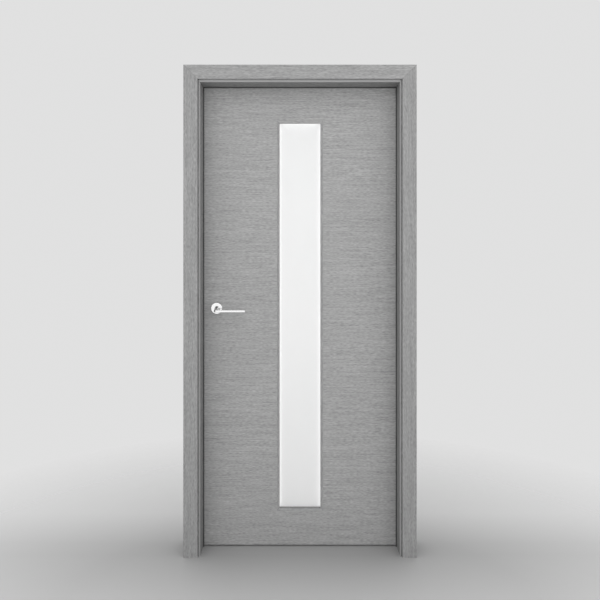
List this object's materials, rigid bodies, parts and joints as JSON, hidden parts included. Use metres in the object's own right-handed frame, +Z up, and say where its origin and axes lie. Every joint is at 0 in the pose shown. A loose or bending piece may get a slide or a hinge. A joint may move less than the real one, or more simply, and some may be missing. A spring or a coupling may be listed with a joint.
{
  "type": "glazed interior door",
  "caption": "Flush interior door leaf with a tall narrow frosted pane and a slim lever handle, hung on butt hinges in a mitred frame with flat casings.",
  "frame": {"origin": "at floor level, in the middle of the depth of the hinge jamb's flat outer face", "axes": "+X right and +Y away as seen from the stop side (the pictured side), +Z up"},
  "size_m": [1.057, 0.1995, 2.1855],
  "materials": {
    "frame_veneer": "matt grey veneer, fine straight grain",
    "leaf_veneer": "matt grey veneer, fine grain running across",
    "leaf_edge": "matt grey edge lipping",
    "leaf_core": "raw board",
    "bead_veneer": "matt grey veneer, fine straight grain",
    "frosted_glass": "frosted, white, satin",
    "handle_metal": "satin chrome",
    "hinge_steel": "brushed",
    "latch_steel": "brushed",
    "seal": "matt dark grey"
  },
  "bodies": {
    "frame": {"hinge_jamb": "frame_veneer", "latch_jamb": "frame_veneer", "head_jamb": "frame_veneer", "hinge_side_front_casing": "frame_veneer", "latch_side_front_casing": "frame_veneer", "head_front_casing": "frame_veneer", "hinge_side_back_casing": "frame_veneer", "latch_side_back_casing": "frame_veneer", "head_back_casing": "frame_veneer", "hinge_side_seal": "seal", "latch_side_seal": "seal", "head_seal": "seal", "strike_plate": "latch_steel", "top_hinge_frame_plate": "hinge_steel", "middle_hinge_frame_plate": "hinge_steel", "bottom_hinge_frame_plate": "hinge_steel", "top_hinge_pin": "hinge_steel", "middle_hinge_pin": "hinge_steel", "bottom_hinge_pin": "hinge_steel"},
    "leaf": {"front_face_board": "leaf_veneer", "back_face_board": "leaf_veneer", "leaf_core": "leaf_core", "hinge_stile": "leaf_edge", "lock_stile": "leaf_edge", "top_rail": "leaf_edge", "bottom_rail": "leaf_edge", "lock_side_front_bead": "bead_veneer", "hinge_side_front_bead": "bead_veneer", "top_front_bead": "bead_veneer", "bottom_front_bead": "bead_veneer", "lock_side_back_bead": "bead_veneer", "hinge_side_back_bead": "bead_veneer", "top_back_bead": "bead_veneer", "bottom_back_bead": "bead_veneer", "glass_pane": "frosted_glass", "latch_plate": "latch_steel", "latch_bolt": "latch_steel", "top_hinge_leaf_plate": "hinge_steel", "middle_hinge_leaf_plate": "hinge_steel", "bottom_hinge_leaf_plate": "hinge_steel", "front_rose": "handle_metal", "back_rose": "handle_metal"},
    "levers": {"front_lever": "handle_metal", "back_lever": "handle_metal", "spindle": "handle_metal"}
  },
  "joints": [
    {"name": "leaf_swing", "type": "hinge", "parent": "frame", "child": "leaf", "pos_m": [-0.02875, 0.07, 0], "axis": [0, 0, -1], "range_deg": [0, 160]},
    {"name": "lever_turn", "type": "hinge", "parent": "leaf", "child": "levers", "pos_m": [-0.862, 0.0425, 1.0895], "axis": [0, 1, 0], "range_deg": [0, 45], "stiffness_Nm_per_rad": 1.2, "springref_deg": -28.65}
  ]
}
